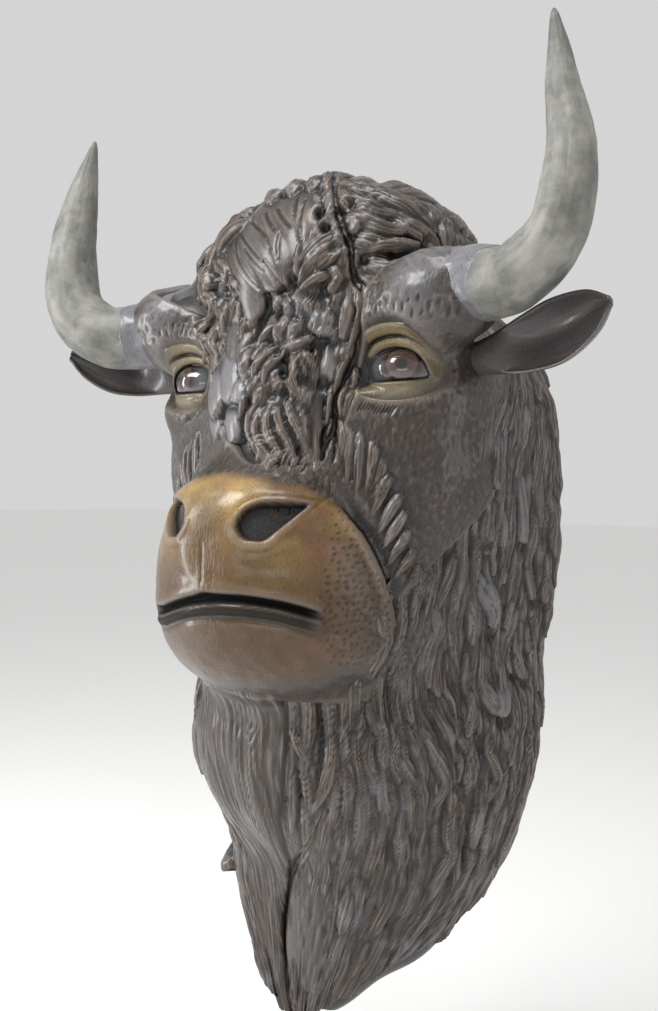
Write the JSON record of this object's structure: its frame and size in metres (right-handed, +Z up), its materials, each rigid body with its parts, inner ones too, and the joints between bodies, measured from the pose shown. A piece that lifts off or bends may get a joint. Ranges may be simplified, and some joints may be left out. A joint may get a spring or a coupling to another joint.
{
  "type": "wall-hung buffalo head sculpture",
  "caption": "Wall-hung sculpted buffalo head: a cast, painted face with mane and beard on a flat back, upswept horns, cupped ears and glossy eyes.",
  "frame": {"origin": "a point in the middle of the flat back, on the wall plane and level with the top of the nostrils", "axes": "+Y into the wall, the face looks toward -Y, +Z up, +X the animal's left"},
  "size_m": [0.6988, 0.4046, 1.0195],
  "materials": {
    "coat_paint": "dark bronze-brown hand paint with greyer brushed ridges under a satin varnish, tan on the muzzle",
    "horn_paint": "weathered light grey paint with dark blotches and fine lengthwise grain",
    "eye_glass": "dark brown gloss, wet looking",
    "plate_steel": "zinc plated"
  },
  "bodies": {
    "root": {"head": "coat_paint", "horn_left": "horn_paint", "horn_right": "horn_paint", "ear_left": "coat_paint", "ear_right": "coat_paint", "eye_left": "eye_glass", "eye_right": "eye_glass", "hanging_plate": "plate_steel"}
  },
  "joints": []
}
